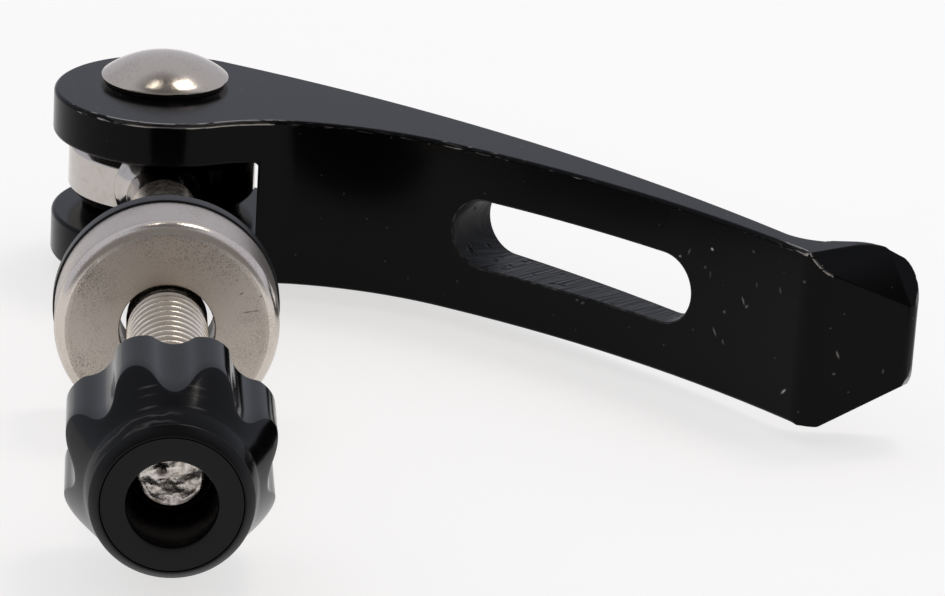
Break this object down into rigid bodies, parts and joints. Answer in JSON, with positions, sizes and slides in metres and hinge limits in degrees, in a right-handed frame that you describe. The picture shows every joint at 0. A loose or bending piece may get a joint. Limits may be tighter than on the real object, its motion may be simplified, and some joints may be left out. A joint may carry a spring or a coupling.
{
  "type": "seatpost quick release bolt",
  "caption": "Cam lever riveted to a long eye bolt, with a dished plastic pad and steel washer that slide on the bolt and a lobed thumb nut, for clamping a seatpost by hand.",
  "frame": {"origin": "on the pivot axis of the lever, at the middle of its height, where the bolt's axis crosses it", "axes": "+Z along the pivot, -Y along the bolt toward the thumb nut, +X to the side of the closed lever"},
  "size_m": [0.0651, 0.078, 0.0177],
  "materials": {
    "black_anodised_lever": "black anodised, satin, worn on the edges",
    "nickel_rivet": "nickel plated, finely brushed",
    "zinc_bolt": "bright zinc plated, rolled thread",
    "black_pad": "moulded, matte",
    "satin_washer": "tumbled satin nickel",
    "black_anodised_nut": "black anodised over fine turning marks"
  },
  "bodies": {
    "bolt": {"eye_bolt": "zinc_bolt"},
    "lever": {"cam_lever": "black_anodised_lever", "pivot_rivet": "nickel_rivet"},
    "washers": {"cam_washer": "black_pad", "thrust_washer": "satin_washer"},
    "nut": {"thumb_nut": "black_anodised_nut"}
  },
  "joints": [
    {"name": "lever_swing", "type": "hinge", "parent": "bolt", "child": "lever", "pos_m": [0, 0, 0], "axis": [0, 0, 1], "range_deg": [0, 180]},
    {"name": "washers_slide", "type": "slide", "parent": "bolt", "child": "washers", "axis": [0, 1, 0], "range_m": [-0.019, 0.0204]},
    {"name": "nut_turn", "type": "hinge", "parent": "bolt", "child": "nut", "pos_m": [0, -0.06, 0], "axis": [0, -1, 0], "continuous": true}
  ]
}
